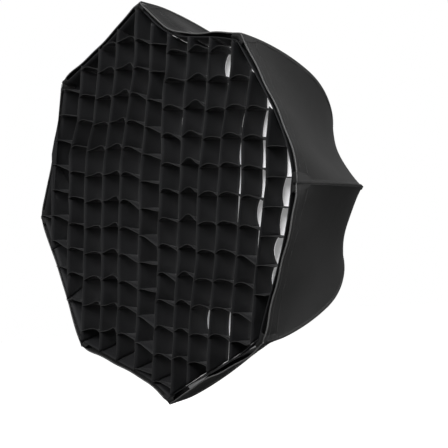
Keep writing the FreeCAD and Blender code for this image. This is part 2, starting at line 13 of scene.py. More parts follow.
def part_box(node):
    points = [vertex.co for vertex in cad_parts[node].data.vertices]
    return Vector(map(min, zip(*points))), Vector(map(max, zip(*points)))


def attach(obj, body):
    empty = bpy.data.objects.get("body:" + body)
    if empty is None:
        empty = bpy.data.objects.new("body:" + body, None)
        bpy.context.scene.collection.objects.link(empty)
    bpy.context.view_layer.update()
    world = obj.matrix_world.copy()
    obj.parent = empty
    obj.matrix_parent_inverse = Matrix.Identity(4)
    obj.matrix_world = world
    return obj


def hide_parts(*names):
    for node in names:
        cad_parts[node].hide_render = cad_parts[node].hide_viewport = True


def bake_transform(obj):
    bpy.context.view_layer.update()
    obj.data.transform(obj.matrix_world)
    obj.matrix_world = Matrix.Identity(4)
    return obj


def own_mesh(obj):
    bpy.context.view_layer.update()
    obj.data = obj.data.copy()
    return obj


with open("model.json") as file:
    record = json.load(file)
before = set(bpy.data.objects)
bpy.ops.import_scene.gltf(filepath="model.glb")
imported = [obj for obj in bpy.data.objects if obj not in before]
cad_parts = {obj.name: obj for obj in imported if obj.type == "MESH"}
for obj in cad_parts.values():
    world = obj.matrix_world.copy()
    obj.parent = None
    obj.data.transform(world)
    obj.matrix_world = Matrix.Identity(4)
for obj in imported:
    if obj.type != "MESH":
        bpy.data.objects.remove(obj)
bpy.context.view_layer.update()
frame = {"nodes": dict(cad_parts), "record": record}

# ---- Driving sizes, in metres and in the frame of the CAD model ----
RIBS = 8
RIB_STEP = math.radians(360.0 / RIBS)
FIRST_RIB = math.radians(90.0)
REAR_Y = -0.012
FRONT_Y = REAR_Y - 0.30243
ROOT_RADIUS = 0.06129
RIB_ARCS = ((0.16421, 42.34), (0.31340, 21.25), (0.71260, 14.29))  # radius and degrees of turn, from the hub
PROFILE_LENGTH = sum(radius * math.radians(turn) for radius, turn in RIB_ARCS)
CUFF_EDGE_RADIUS = 0.0722
CLOTH = 0.0008
# Sag of the cloth between two ribs, as a share of the radius: a quadratic in the place along the rib
SAG = (0.0285, 0.3418, -0.2945)
ROUNDING_START = 0.80  # place along the rib where the octagon starts to turn into the round cuff
LIP_DEPTH = 0.046  # dark cloth inside the front edge, ahead of the silver lining
SEAM_BACK = 0.025  # stitched line behind the front edge

# How the front edge hangs between two ribs: outward bow, where it peaks, and how far back it reaches
BAY_BOW = {1: (0.001, 0.35, 0.08), 2: (-0.003, 0.34, 0.08), 3: (0.003, 0.60, 0.08), 4: (-0.0070, 0.74, 0.07),
           5: (0.007, 0.66, 0.09), 6: (0.010, 0.64, 0.10), 7: (0.021, 0.40, 0.11), 8: (-0.0180, 0.66, 0.033)}
# Bays whose cloth stands out further back along the rib, and where it does
REAR_FULLNESS = {6: 0.0090, 7: 0.0060}
FULLEST_AT, FULL_SPREAD = 0.68, 0.17
# How far each rib's corner is rounded in, and how far that reaches along the edge and back along the rib
CORNER_ROUNDING = {1: 0.0045, 2: 0.0050, 3: 0.0055, 4: 0.0040, 5: 0.0040, 6: 0.0040, 7: 0.0030, 8: 0.0005}
CORNER_ALONG, CORNER_BACK = 0.014, 0.030

# Sewing: piping on the front edge, stitches as (pitch, length, thread radius) and where their rows run
PIPING_RADIUS, PIPING_SIDES, PIPING_SET_IN = 0.0010, 8, 0.0004
FRONT_STITCH, FRONT_STITCH_ROWS = (0.0046, 0.0032, 0.00033), (SEAM_BACK + 0.0022, 0.0072)
RIB_STITCH, RIB_STITCH_ROWS = (0.0048, 0.0034, 0.0003), (-0.0027, 0.0027)
# Section of the felled seam over a rib: places across it and heights over the cloth
SEAM_OFFSETS = (-0.0042, -0.0036, -0.0018, 0.0, 0.0018, 0.0036, 0.0042)
SEAM_LIFTS = (0.0001, 0.0007, 0.0009, 0.0013, 0.0009, 0.0007, 0.0001)
RIDGE_LEAN = 0.38  # sideways lean of the cloth's normal beside a rib
# Corner pocket: half width, reach along the rib, and its folds over the edge, each back and in from the last
POCKET_HALF_WIDTH, POCKET_REACH = 0.0135, 0.075
POCKET_FOLDS = ((-0.0014, 0.0010), (-0.0016, 0.0026), (-0.0006, 0.0040), (0.0050, 0.0046), (0.0110, 0.0050))
ROOT_PATCH_EDGE = 0.0875

# Diffusers: corner and mid-side radius, slack, seed of the ripples, width of the flat cloth, what holds it
DIFFUSERS = {
    "front_diffuser": (0.2745, 0.2500, 0.0016, 11, 0.560, "diffuser_band"),
    "inner_diffuser": (0.206, 0.180, 0.0040, 12, 0.412, "inner_diffuser_straps"),
}

# The grid: corner and mid-side radius at its front and rear, depths behind the front plane, pitch and turn
GRID_CORNERS, GRID_SIDES = (0.2900, 0.2755), (0.2650, 0.2515)
GRID_FRONT, GRID_REAR = -0.0065, 0.0330
BAND_FRONT = -0.0010
GRID_TURN = math.radians(11.0)
COLUMN_PITCH, ROW_PITCH = 0.0445, 0.0402
COLUMN_SHIFT = 0.004  # the whole lattice sits this far to the right
COLUMNS, ROWS = range(-6, 6), range(-8, 7)
STRIP = 0.0008
BEAD_RADIUS, BEAD_SIDES = 0.00042, 6
LEVEL_TILT = 0.10  # how far the level strips climb to the right, off square with the uprights
# Sewing heights, mm, of the level strips in each cell column
CELL_STEP = {-7: 30, -6: 34, -5: 25, -4: 24, -3: 31, -2: 33, -1: 30, 0: 17, 1: 22, 2: 21, 3: 26, 4: 27, 5: 20}
# How far each upright strays sideways, mm, at five heights
DRIFT_HEIGHTS = (-0.15, -0.07, 0.05, 0.11, 0.20)
DRIFT = {-6: (15, 12, 5, 20, 26), -5: (16, 14, 9, 27, 32), -4: (15, 12, 6, 25, 30), -3: (17, 11, 9, 19, 28),
         -2: (16, 11, 7, 14, 28), -1: (17, 15, 11, 15, 21), 0: (16, 15, 13, 10, 14), 1: (15, 15, 13, 11, 17),
         2: (5, 12, 7, 14, 17), 3: (2, 8, 7, 8, 20), 4: (2, 6, 9, 5, 17), 5: (0, 2, 12, 8, 15)}
# Cells where the back edge of an upright swells left (negative) or right, mm, by column and row
REAR_SWELL = {(0, 3): 1, (1, 3): 2, (1, 2): 4, (2, 4): -9, (2, -5): -6,
              (3, 3): -3, (3, 2): -4, (3, 1): -3, (3, -2): 2, (3, -3): 2, (3, -4): 2, (3, -5): -2,
              (4, 3): -3, (4, 2): -3, (4, 1): 1, (4, -1): -7, (4, -3): 2, (4, -4): 2, (4, -5): -1,
              (5, 0): -6, (5, -1): -4, (5, -2): -10, (5, -3): -8}
# Front edge of the level strips in each cell column: arch in mm, where it peaks, sharpness, droop in mm
CELL_STYLE = {-7: (1.0, 0.5, 1.0, 5.0), -6: (1.5, 0.5, 0.8, 6.0), -5: (4.5, 0.42, 0.8, 1.0),
              -4: (7.5, 0.70, 0.9, 0.0), -3: (8.5, 0.72, 0.9, 0.0), -2: (5.5, 0.36, 0.9, 7.0),
              -1: (1.0, 0.5, 1.0, 3.0), 0: (6.5, 0.36, 0.8, 2.5), 1: (10.0, 0.5, 1.6, 0.0),
              2: (7.0, 0.55, 0.8, 0.0), 3: (7.0, 0.48, 0.8, 1.0), 4: (6.0, 0.45, 0.9, 2.0),
              5: (1.5, 0.5, 1.0, -2.5)}
# Cells whose level strip droops by its own amount, mm, by column and row
DEEP_DROOP = {(-7, 0): 9, (-6, 3): 8, (-6, 0): 9, (-6, -3): 12, (-2, 3): 9, (-2, -1): 10,
              (-1, 3): 9, (-1, 2): 13, (-1, 1): 9, (-1, -2): 16, (-1, -5): 15, (-1, -6): 15,
              (0, 2): 6, (0, -3): 8, (4, -2): 12, (4, -4): 9}

# Coil springs under the release buttons
SPRING_BAYS = {"left": 1.5, "right": 5.5}  # rib steps on from the first rib
SPRING_CIRCLE, SPRING_LOW, SPRING_HIGH = 0.066, -0.0264, -0.0206
COIL_RADIUS, COIL_TURNS, COIL_WIRE = 0.0034, 4.5, 0.0004

WHITE = (1.0, 1.0, 1.0)


# ---- Small tools ----
def rib_angle(number):
    """Angle of a rib about the Y axis; ribs count from 1 at the top, and rib 3 is on the -X side."""
    return FIRST_RIB + RIB_STEP * (number - 1)


def radial(angle):
    return np.array([math.cos(angle), 0.0, math.sin(angle)])


def sideways(angle):
    return np.array([-math.sin(angle), 0.0, math.cos(angle)])


def smooth(x):
    x = np.clip(x, 0.0, 1.0)
    return x * x * (3.0 - 2.0 * x)


def new_object(name, points, faces, material=None, smooth_shading=True):
    """Mesh object from points and faces, with the faces turned as given."""
    mesh = bpy.data.meshes.new(name)
    mesh.from_pydata([tuple(p) for p in points], [], faces)
    mesh.validate()
    mesh.polygons.foreach_set("use_smooth", [smooth_shading] * len(mesh.polygons))
    piece = bpy.data.objects.new(name, mesh)
    bpy.context.scene.collection.objects.link(piece)
    if material:
        mesh.materials.append(material)
    return piece


def grid_faces(rows, columns, first=0, flip=False):
    faces = []
    for i in range(rows - 1):
        for j in range(columns - 1):
            a = first + i * columns + j
            quad = (a, a + 1, a + columns + 1, a + columns)
            faces.append(quad[::-1] if flip else quad)
    return faces


def border_loop(rows, columns):
    """Indexes round the edge of a grid of points, in order."""
    loop = list(range(columns))
    loop += [i * columns + columns - 1 for i in range(1, rows)]
    loop += [(rows - 1) * columns + j for j in range(columns - 2, -1, -1)]
    loop += [i * columns for i in range(rows - 2, 0, -1)]
    return loop


def slab(outer, inner):
    """Points and faces of a thin closed sheet between two matching grids of points."""
    rows, columns = outer.shape[:2]
    count = rows * columns
    points = np.concatenate([outer.reshape(-1, 3), inner.reshape(-1, 3)])
    faces = grid_faces(rows, columns) + grid_faces(rows, columns, count, True)
    loop = border_loop(rows, columns)
    for a, b in zip(loop, loop[1:] + loop[:1]):
        faces.append((b, a, a + count, b + count))
    return points, faces


def grid_normals(points):
    """Normals of a grid of points, from its rows and columns."""
    down = np.gradient(points, axis=0)
    across = np.gradient(points, axis=1)
    normal = np.cross(across, down)
    return normal / np.maximum(np.linalg.norm(normal, axis=2, keepdims=True), 1e-9)


def uv_from_grid(piece, values):
    """UV map from one (u, v) pair per vertex, in metres."""
    layer = piece.data.uv_layers.new(name="cloth")
    index = np.zeros(len(piece.data.loops), int)
    piece.data.loops.foreach_get("vertex_index", index)
    layer.data.foreach_set("uv", np.asarray(values, float)[index].ravel())


def tube_mesh(path, radius, sides):
    """Points and faces of a round tube with flat ends along a list of points."""
    path = [np.asarray(p, float) for p in path]
    count = len(path)
    points, faces = [], []
    for i, place in enumerate(path):
        along = path[min(i + 1, count - 1)] - path[max(i - 1, 0)]
        along /= np.linalg.norm(along)
        side = np.cross(along, [0.0, 1.0, 0.0])
        if np.linalg.norm(side) < 1e-4:
            side = np.cross(along, [1.0, 0.0, 0.0])
        side /= np.linalg.norm(side)
        up = np.cross(side, along)
        for k in range(sides):
            turn = 2 * math.pi * k / sides
            points.append(place + radius * (math.cos(turn) * side + math.sin(turn) * up))
    for i in range(count - 1):
        for k in range(sides):
            a, b = i * sides + k, i * sides + (k + 1) % sides
            faces.append((a, b, b + sides, a + sides))
    faces.append(tuple(range(sides))[::-1])
    faces.append(tuple((count - 1) * sides + k for k in range(sides)))
    return points, faces


def distances(path):
    """Length along a path at each of its points."""
    return np.concatenate([[0], np.cumsum(np.linalg.norm(np.diff(path, axis=0), axis=1))])


def tube_uv(piece, along, sides, width):
    """UV map of a tube: length along it, and a width for each step round it."""
    uv_from_grid(piece, [(length, width * k) for length in along for k in range(sides)])


def fix_normals(piece):
    """Make a closed mesh's faces point outwards."""
    mesh = bmesh.new()
    mesh.from_mesh(piece.data)
    bmesh.ops.recalc_face_normals(mesh, faces=mesh.faces)
    mesh.to_mesh(piece.data)
    mesh.free()


def merge(parts):
    """Join several (points, faces) pairs."""
    points, faces = [], []
    for some_points, some_faces in parts:
        base = len(points)
        points.extend(some_points)
        faces.extend(tuple(base + i for i in face) for face in some_faces)
    return points, faces


# ---- Materials ----
def node_material(name):
    material = bpy.data.materials.new(name)
    material.use_nodes = True
    shader = material.node_tree.nodes["Principled BSDF"]
    return material, material.node_tree, shader


def noise_node(tree, scale, detail, rough, stretch=None):
    """Noise over the object's own coordinates, drawn out along an axis where stretch is given."""
    node = tree.nodes.new("ShaderNodeTexNoise")
    node.inputs["Scale"].default_value = scale
    node.inputs["Detail"].default_value = detail
    node.inputs["Roughness"].default_value = rough
    source = tree.nodes.new("ShaderNodeTexCoord").outputs["Object"]
    if stretch:
        mapping = tree.nodes.new("ShaderNodeMapping")
        mapping.inputs["Scale"].default_value = stretch
        tree.links.new(source, mapping.inputs["Vector"])
        source = mapping.outputs["Vector"]
    tree.links.new(source, node.inputs["Vector"])
    return node.outputs["Fac"]


def ramp_node(tree, factor, stops):
    """Colour ramp between two (place, colour) stops."""
    node = tree.nodes.new("ShaderNodeValToRGB")
    for element, (place, colour) in zip(node.color_ramp.elements, stops):
        element.position = place
        element.color = (*colour, 1.0)
    tree.links.new(factor, node.inputs["Fac"])
    return node.outputs["Color"]


def shade(value, tint):
    return tuple(value * t for t in tint)


def wave_node(tree, vector, scale, direction):
    node = tree.nodes.new("ShaderNodeTexWave")
    node.wave_type = "BANDS"
    node.bands_direction = direction
    node.wave_profile = "SIN"
    node.inputs["Scale"].default_value = scale
    node.inputs["Distortion"].default_value = 0.25
    node.inputs["Detail"].default_value = 1.0
    tree.links.new(vector, node.inputs["Vector"])
    return node.outputs["Fac"]


def math_node(tree, operation, a, b):
    node = tree.nodes.new("ShaderNodeMath")
    node.operation = operation
    for socket, value in zip(node.inputs, (a, b)):
        if isinstance(value, (int, float)):
            socket.default_value = value
        else:
            tree.links.new(value, socket)
    return node.outputs["Value"]


def weighted_sum(tree, pairs):
    """Sum of outputs, each times its weight."""
    total = None
    for output, weight in pairs:
        part = math_node(tree, "MULTIPLY", output, weight)
        total = part if total is None else math_node(tree, "ADD", total, part)
    return total


def uneven_roughness(tree, shader, noise, middle, swing):
    """Roughness that wanders by a swing about its middle value."""
    spread = math_node(tree, "MULTIPLY", noise, swing)
    tree.links.new(math_node(tree, "ADD", spread, middle - swing / 2), shader.inputs["Roughness"])


def bump(tree, shader, height, strength, distance, before=None):
    """Bump from a height output, on top of an earlier bump where one is given."""
    node = tree.nodes.new("ShaderNodeBump")
    node.inputs["Strength"].default_value = strength
    node.inputs["Distance"].default_value = distance
    tree.links.new(height, node.inputs["Height"])
    if before is not None:
        tree.links.new(before, node.inputs["Normal"])
    tree.links.new(node.outputs["Normal"], shader.inputs["Normal"])
    return node.outputs["Normal"]


def woven(name, dark, light, roughness, thread=0.0011, sheen=0.0, weave=0.5, specular=0.4, uv=True,
          tint=WHITE, painted_glow=0.0):
    """Woven cloth: crossed threads, slubs and slow colour variation between dark and light, and an optional
    painted glow (emission) that makes the cloth look lit though no lamp is in it.
    """
    material, tree, shader = node_material(name)
    vector = tree.nodes.new("ShaderNodeTexCoord").outputs["UV" if uv else "Object"]
    across = wave_node(tree, vector, 1.0 / thread, "X")
    along = wave_node(tree, vector, 1.0 / thread, "Y" if uv else "Z")
    threads = math_node(tree, "MULTIPLY", across, along)
    slow = noise_node(tree, 9.0, 3.0, 0.55)
    slubs = noise_node(tree, 260.0, 3.0, 0.7)
    mixed = weighted_sum(tree, [(slow, 0.65), (slubs, 0.2), (threads, 0.3)])
    colour = ramp_node(tree, mixed, [(0.25, shade(dark, tint)), (0.85, shade(light, tint))])
    tree.links.new(colour, shader.inputs["Base Color"])
    uneven_roughness(tree, shader, slow, roughness, 0.16)
    shader.inputs["Specular IOR Level"].default_value = specular
    shader.inputs["Sheen Weight"].default_value = sheen
    shader.inputs["Sheen Roughness"].default_value = 0.45
    # Painted glow: emission that brightens the cloth as if light came through it, though it is no lamp.
    shader.inputs["Emission Strength"].default_value = painted_glow
    weave_bump = bump(tree, shader, threads, weave, 0.00012)
    bump(tree, shader, slow, 0.10, 0.0015, weave_bump)
    return material


def moulded(name, dark, light, roughness, grain=900.0, tint=WHITE, coat=0.0):
    """Moulded plastic or painted metal with a fine texture and slightly polished wear."""
    material, tree, shader = node_material(name)
    slow = noise_node(tree, 30.0, 4.0, 0.6)
    fine = noise_node(tree, grain, 2.0, 0.5)
    colour = ramp_node(tree, slow, [(0.3, shade(dark, tint)), (0.75, shade(light, tint))])
    tree.links.new(colour, shader.inputs["Base Color"])
    uneven_roughness(tree, shader, slow, roughness, 0.25)
    shader.inputs["Coat Weight"].default_value = coat
    bump(tree, shader, fine, 0.25, 0.0001)
    return material


def metal(name, dark, light, roughness):
    """Worked metal with drawn grain and small scuffs."""
    material, tree, shader = node_material(name)
    grain = noise_node(tree, 60.0, 5.0, 0.7, stretch=(40.0, 1.0, 40.0))
    scuff = noise_node(tree, 45.0, 6.0, 0.75)
    colour = ramp_node(tree, grain, [(0.3, shade(dark, WHITE)), (0.75, shade(light, WHITE))])
    tree.links.new(colour, shader.inputs["Base Color"])
    shader.inputs["Metallic"].default_value = 1.0
    uneven_roughness(tree, shader, scuff, roughness, 0.30)
    bump(tree, shader, grain, 0.15, 0.0001)
    return material


def make_materials():
    return {
        "canopy": woven("canopy_nylon", 0.0038, 0.0066, 0.52, sheen=0.016, weave=0.35, specular=0.15),
        "lip": woven("lip_cloth", 0.011, 0.018, 0.70, sheen=0.02, weave=0.5, specular=0.2),
        "lining": woven("silver_lining", 0.55, 0.75, 0.38, thread=0.0016, weave=0.6, specular=0.6),
        "binding": woven("binding_tape", 0.045, 0.080, 0.5, thread=0.0009, sheen=0.15, weave=0.8),
        "seam": woven("seam_tape", 0.0055, 0.0095, 0.6, thread=0.0008, sheen=0.02, weave=0.6, specular=0.2),
        "thread": woven("sewing_thread", 0.016, 0.030, 0.55, thread=0.0004, sheen=0.1, weave=0.6, uv=False),
        "grid": woven("grid_cloth", 0.0080, 0.0125, 0.62, thread=0.0009, sheen=0.03, weave=0.4, specular=0.20,
                      tint=(0.96, 0.98, 1.08)),
        "grid_edge": woven("grid_edge_fold", 0.009, 0.014, 0.6, thread=0.0008, sheen=0.04, weave=0.6),
        # The diffuser cloth has a painted glow: a little emission stands in for light shining through it.
        "white": woven("diffuser_cloth", 0.80, 0.90, 0.75, thread=0.0009, sheen=0.1, weave=0.3, specular=0.25,
                       tint=(0.985, 0.98, 1.0), painted_glow=0.22),
        "hook": woven("hook_tape", 0.010, 0.022, 0.85, thread=0.0014, sheen=0.2, weave=1.0, uv=False),
        "elastic": woven("elastic_webbing", 0.30, 0.42, 0.7, thread=0.0010, sheen=0.2, weave=1.0, uv=False),
        "adapter": moulded("adapter_paint", 0.020, 0.034, 0.42, coat=0.05),
        "housing": moulded("housing_plastic", 0.022, 0.034, 0.55),
        "bracket": moulded("bracket_paint", 0.020, 0.040, 0.40, grain=600.0),
        "button": moulded("button_plastic", 0.30, 0.36, 0.45, tint=(1.0, 0.42, 0.16)),
        "rod": moulded("fibreglass_rod", 0.020, 0.045, 0.30, grain=300.0, coat=0.2),
        "steel": metal("plated_steel", 0.45, 0.68, 0.32),
        "strut": metal("strut_aluminium", 0.50, 0.66, 0.38),
    }


SLOT_MATERIAL = {
    "adapter_metal": "adapter", "hub_plastic": "housing", "steel": "steel", "bracket_metal": "bracket",
    "strut_metal": "strut", "rib_fibreglass": "rod", "button_plastic": "button", "canopy_cloth": "canopy",
    "grid_cloth": "grid", "white_cloth": "white", "hook_and_loop": "hook", "elastic": "elastic",
}


def paint_cad_nodes(materials):
    """Give every carried-over CAD node the procedural finish of its slot."""
    slots = {part["node"]: part["material_slot"] for part in frame["record"]["subparts"]}
    for name, piece in frame["nodes"].items():
        piece.data.materials.clear()
        piece.data.materials.append(materials[SLOT_MATERIAL[slots[name]]])


# ---- Canopy surface ----
def profile(fraction):
    """Radius, Y and heading on the rib's curve; fraction is 0 at the tip and 1 at the root."""
    left = (1.0 - fraction) * PROFILE_LENGTH
    x, y, heading = ROOT_RADIUS, REAR_Y, 0.0
    for index, (radius, degrees) in enumerate(RIB_ARCS):
        turn = math.radians(degrees)
        centre_x, centre_y = x - radius * math.sin(heading), y - radius * math.cos(heading)
        if left <= radius * turn or index == len(RIB_ARCS) - 1:
            heading += left / radius
            return centre_x + radius * math.sin(heading), centre_y + radius * math.cos(heading), heading
        left -= radius * turn
        heading += turn
        x, y = centre_x + radius * math.sin(heading), centre_y + radius * math.cos(heading)


def root_fraction():
    """Place along the rib where the canopy meets the cuff."""
    heading = math.asin((CUFF_EDGE_RADIUS - ROOT_RADIUS) / RIB_ARCS[0][0])
    return 1.0 - heading * RIB_ARCS[0][0] / PROFILE_LENGTH


ROOT = root_fraction()
# Half a bay is a grid of points, with its rows closer at the front edge
PANEL_ROWS = np.concatenate([np.linspace(0, 0.09, 26), np.linspace(0.09, ROOT, 74)[1:]])
PANEL_COLUMNS = 22
PANEL_GAP = 0.0012  # share of the bay between a rib and the first column
PAST_MIDDLE = 0.012  # share past the bay's middle that only helps to work out the normals


def bow_at(bay, share):
    """Outward bow of a bay's front edge; share runs from 0 at its rib to 1 at the next."""
    amount, peak, _ = BAY_BOW[(bay - 1) % RIBS + 1]
    share = min(max(share, 0.0), 1.0)
    return amount * math.sin(math.pi * share ** (math.log(0.5) / math.log(peak)))


def bay_points(rib, fractions, shares):
    """Grid of points on the bay after a rib; shares run from 0 at that rib to 1 at the next."""
    first, second = radial(rib_angle(rib)), radial(rib_angle(rib + 1))
    middle = radial(rib_angle(rib) + RIB_STEP / 2)
    points = np.zeros((len(fractions), len(shares), 3))
    for i, fraction in enumerate(fractions):
        radius, y, _ = profile(fraction)
        sag = SAG[0] + SAG[1] * fraction + SAG[2] * fraction * fraction
        rounding = float(smooth((fraction - ROUNDING_START) / (ROOT - ROUNDING_START)))
        for j, share in enumerate(shares):
            flat = radius * ((1 - share) * first + share * second - 4 * share * (1 - share) * sag * middle)
            round_point = radius * radial(rib_angle(rib) + RIB_STEP * share)
            points[i, j] = flat * (1 - rounding) + round_point * rounding
            points[i, j] += front_drape(rib, fraction, share, radius) * middle
            points[i, j, 1] = y
    return points


def front_drape(bay, fraction, share, radius):
    """Outward shift of the cloth: bow of the front edge, fullness further back and rounded corners."""
    length = fraction * PROFILE_LENGTH
    bay = (bay - 1) % RIBS + 1
    drape = bow_at(bay, share) * math.exp(-(length / BAY_BOW[bay][2]) ** 2)
    across = math.sin(math.pi * min(max(share, 0), 1))
    drape += REAR_FULLNESS.get(bay, 0.0) * across * math.exp(-((fraction - FULLEST_AT) / FULL_SPREAD) ** 2)
    rib = (bay - 1 + (share > 0.5)) % RIBS + 1
    from_rib = min(abs(share), abs(1 - share)) * 2 * radius * math.sin(RIB_STEP / 2)
    corner = math.exp(-(from_rib / CORNER_ALONG) ** 2 - (length / CORNER_BACK) ** 2)
    return drape - CORNER_ROUNDING[rib] * corner


def bay_ripple(rib, fractions, shares):
    """Outward offset of the cloth: pucker at the ribs, faint pull lines and the stitched front line."""
    rng = random.Random(100 + rib % RIBS)
    phases = [rng.uniform(0, 2 * math.pi) for _ in range(4)]
    along = np.asarray(fractions)[:, None]
    across = np.asarray(shares)[None, :]
    from_rib = np.minimum(across, 1 - across)
    length = along * PROFILE_LENGTH
    pucker = np.sin(length / 0.0085 + phases[0] + 1.7 * np.sin(length / 0.05)) * np.exp(-from_rib / 0.045)
    pull = np.sin(7.0 * across * math.pi + 2.4 * along + phases[1])
    pull = pull * np.exp(-along / 0.16) * smooth(from_rib / 0.08)
    slow = np.sin(2.1 * along * math.pi + phases[2]) * np.sin(math.pi * across)
    slow = slow * np.sin(2 * math.pi * across + phases[3])
    line = np.exp(-((length - SEAM_BACK) / 0.0016) ** 2)
    hem = (1 - smooth((length - SEAM_BACK) / 0.002)) * smooth(length / 0.002)
    return 0.00035 * pucker + 0.0007 * pull + 0.0016 * slow - 0.0007 * line + 0.0005 * hem


def facing(normals, guide):
    """Normals turned to the side that the guide vectors point to."""
    side = np.sign(np.sum(normals * guide, axis=2, keepdims=True))
    return normals * np.where(side == 0, 1, side)


def panel_surface(rib, side):
    """Outer points and normals of half a bay, on the side of a rib that counts on (ahead) or back."""
    ahead = side == "ahead"
    bay = rib if ahead else rib - 1
    half = 0.5 * np.sin(np.linspace(0, math.pi / 2, PANEL_COLUMNS))  # columns close up towards the middle
    half[0] = PANEL_GAP
    half = np.append(half, 0.5 + PAST_MIDDLE)
    shares = half if ahead else 1 - half[::-1]
    base = bay_points(bay, PANEL_ROWS, shares)
    normals = facing(grid_normals(base), base * [1, 0, 1])
    surface = base + normals * bay_ripple(bay, PANEL_ROWS, shares)[:, :, None]
    normals = facing(grid_normals(surface), normals)
    kept = slice(0, PANEL_COLUMNS) if ahead else slice(1, PANEL_COLUMNS + 1)
    return surface[:, kept], normals[:, kept]


def half_panel(rib, side, outer, normals, materials):
    """Half of a cloth bay: dark outside, and inside a dark lip at the front and silver lining behind it."""
    points, faces = slab(outer, outer - normals * CLOTH)
    if np.dot(np.cross(outer[1, 0] - outer[0, 0], outer[0, 1] - outer[0, 0]), normals[0, 0]) > 0:
        faces = [face[::-1] for face in faces]
    piece = new_object("canopy_%s_%d" % (side, rib), points, faces, materials["canopy"])
    piece.data.materials.append(materials["lip"])
    piece.data.materials.append(materials["lining"])
    strips = PANEL_COLUMNS - 1
    outer_faces = (len(PANEL_ROWS) - 1) * strips
    rows_in_lip = int(np.sum(PANEL_ROWS * PROFILE_LENGTH < LIP_DEPTH))
    kinds = np.zeros(len(piece.data.polygons), int)
    kinds[outer_faces:2 * outer_faces] = np.where(np.arange(outer_faces) // strips < rows_in_lip, 1, 2)
    piece.data.polygons.foreach_set("material_index", kinds)
    back = np.repeat(PANEL_ROWS[:, None] * PROFILE_LENGTH, PANEL_COLUMNS, 1)
    across = np.linalg.norm(outer - outer[:, :1], axis=2)
    uv = np.stack([across, back], 2).reshape(-1, 2)
    uv_from_grid(piece, np.concatenate([uv, uv]))
    vertex_normals = np.concatenate([normals.reshape(-1, 3), -normals.reshape(-1, 3)])
    piece.data.normals_split_custom_set_from_vertices([tuple(n) for n in vertex_normals])
    return piece


def pleat(piece):
    """Bake a piece's placement into its mesh."""
    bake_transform(piece)


def front_binding(rib, side, outer, normals, materials):
    """Round piping sewn along the canopy's front edge."""
    edge = outer[0] - normals[0] * PIPING_SET_IN + np.array([0.0, -PIPING_SET_IN, 0.0])
    points, faces = tube_mesh(edge, PIPING_RADIUS, PIPING_SIDES)
    piece = new_object("piping_%s_%d" % (side, rib), points, faces, materials["binding"])
    fix_normals(piece)
    tube_uv(piece, distances(edge), PIPING_SIDES, 0.0009)
    return piece


def stitches(path_points, path_normals, pitch, length, radius):
    """Short raised thread capsules along a path, one per pitch, as (points, faces) pairs."""
    travel = distances(path_points)
    parts = []
    place = pitch * 0.5
    while place + length < travel[-1]:
        path = []
        for t, lift in ((place, -0.2), (place + length / 2, 0.9), (place + length, -0.2)):
            point = np.array([np.interp(t, travel, path_points[:, k]) for k in range(3)])
            normal = np.array([np.interp(t, travel, path_normals[:, k]) for k in range(3)])
            path.append(point + normal * radius * lift)
        parts.append(tube_mesh(path, radius, 5))
        place += pitch
    return parts


def panel_stitching(rib, side, outer, normals, materials):
    """Two rows of stitches behind the front edge of a half panel."""
    parts = []
    for back in FRONT_STITCH_ROWS:
        row = int(np.argmin(np.abs(PANEL_ROWS * PROFILE_LENGTH - back)))
        parts += stitches(outer[row], normals[row], *FRONT_STITCH)
    points, faces = merge(parts)
    return new_object("front_stitching_%s_%d" % (side, rib), points, faces, materials["thread"])


def rib_ridge(rib, offset, fractions, lift):
    """Points near the rib's ridge: offset sideways over the cloth and lifted off it."""
    angle = rib_angle(rib)
    ahead = offset >= 0
    bay = rib if ahead else rib - 1
    tilt = 0.0 if abs(offset) < 1e-6 else math.copysign(RIDGE_LEAN, offset)
    points, normals = [], []
    for fraction in fractions:
        radius, _, heading = profile(fraction)
        share = max(abs(offset) / (2 * radius * math.sin(RIB_STEP / 2)), 1e-4)
        point = bay_points(bay, [fraction], [share if ahead else 1 - share])[0, 0]
        normal = math.sin(heading) * radial(angle) + np.array([0.0, math.cos(heading), 0.0])
        normal = normal + tilt * sideways(angle)
        normal /= np.linalg.norm(normal)
        points.append(point + normal * lift)
        normals.append(normal)
    return np.array(points), np.array(normals)


def rib_seam(rib, materials):
    """Felled seam over a rib: a narrow folded band with a stitch row on each side."""
    fractions = np.linspace(0.012, ROOT - 0.004, 90)
    top = np.stack([rib_ridge(rib, x, fractions, lift)[0] for x, lift in zip(SEAM_OFFSETS, SEAM_LIFTS)], 1)
    low = np.stack([rib_ridge(rib, x, fractions, -0.0004)[0] for x in SEAM_OFFSETS], 1)
    points, faces = slab(top, low)
    band = new_object("rib_seam_%d" % rib, points, faces, materials["seam"])
    fix_normals(band)
    uv = np.stack(np.meshgrid(SEAM_OFFSETS, fractions * PROFILE_LENGTH), 2).reshape(-1, 2)
    uv_from_grid(band, np.concatenate([uv, uv]))
    parts = []
    for offset in RIB_STITCH_ROWS:
        line, normals = rib_ridge(rib, offset, fractions, 0.00085)
        parts += stitches(line, normals, *RIB_STITCH)
    points, faces = merge(parts)
    thread = new_object("rib_stitching_%d" % rib, points, faces, materials["thread"])
    for piece in (thread, band):
        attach(piece, "rib_%d" % rib)


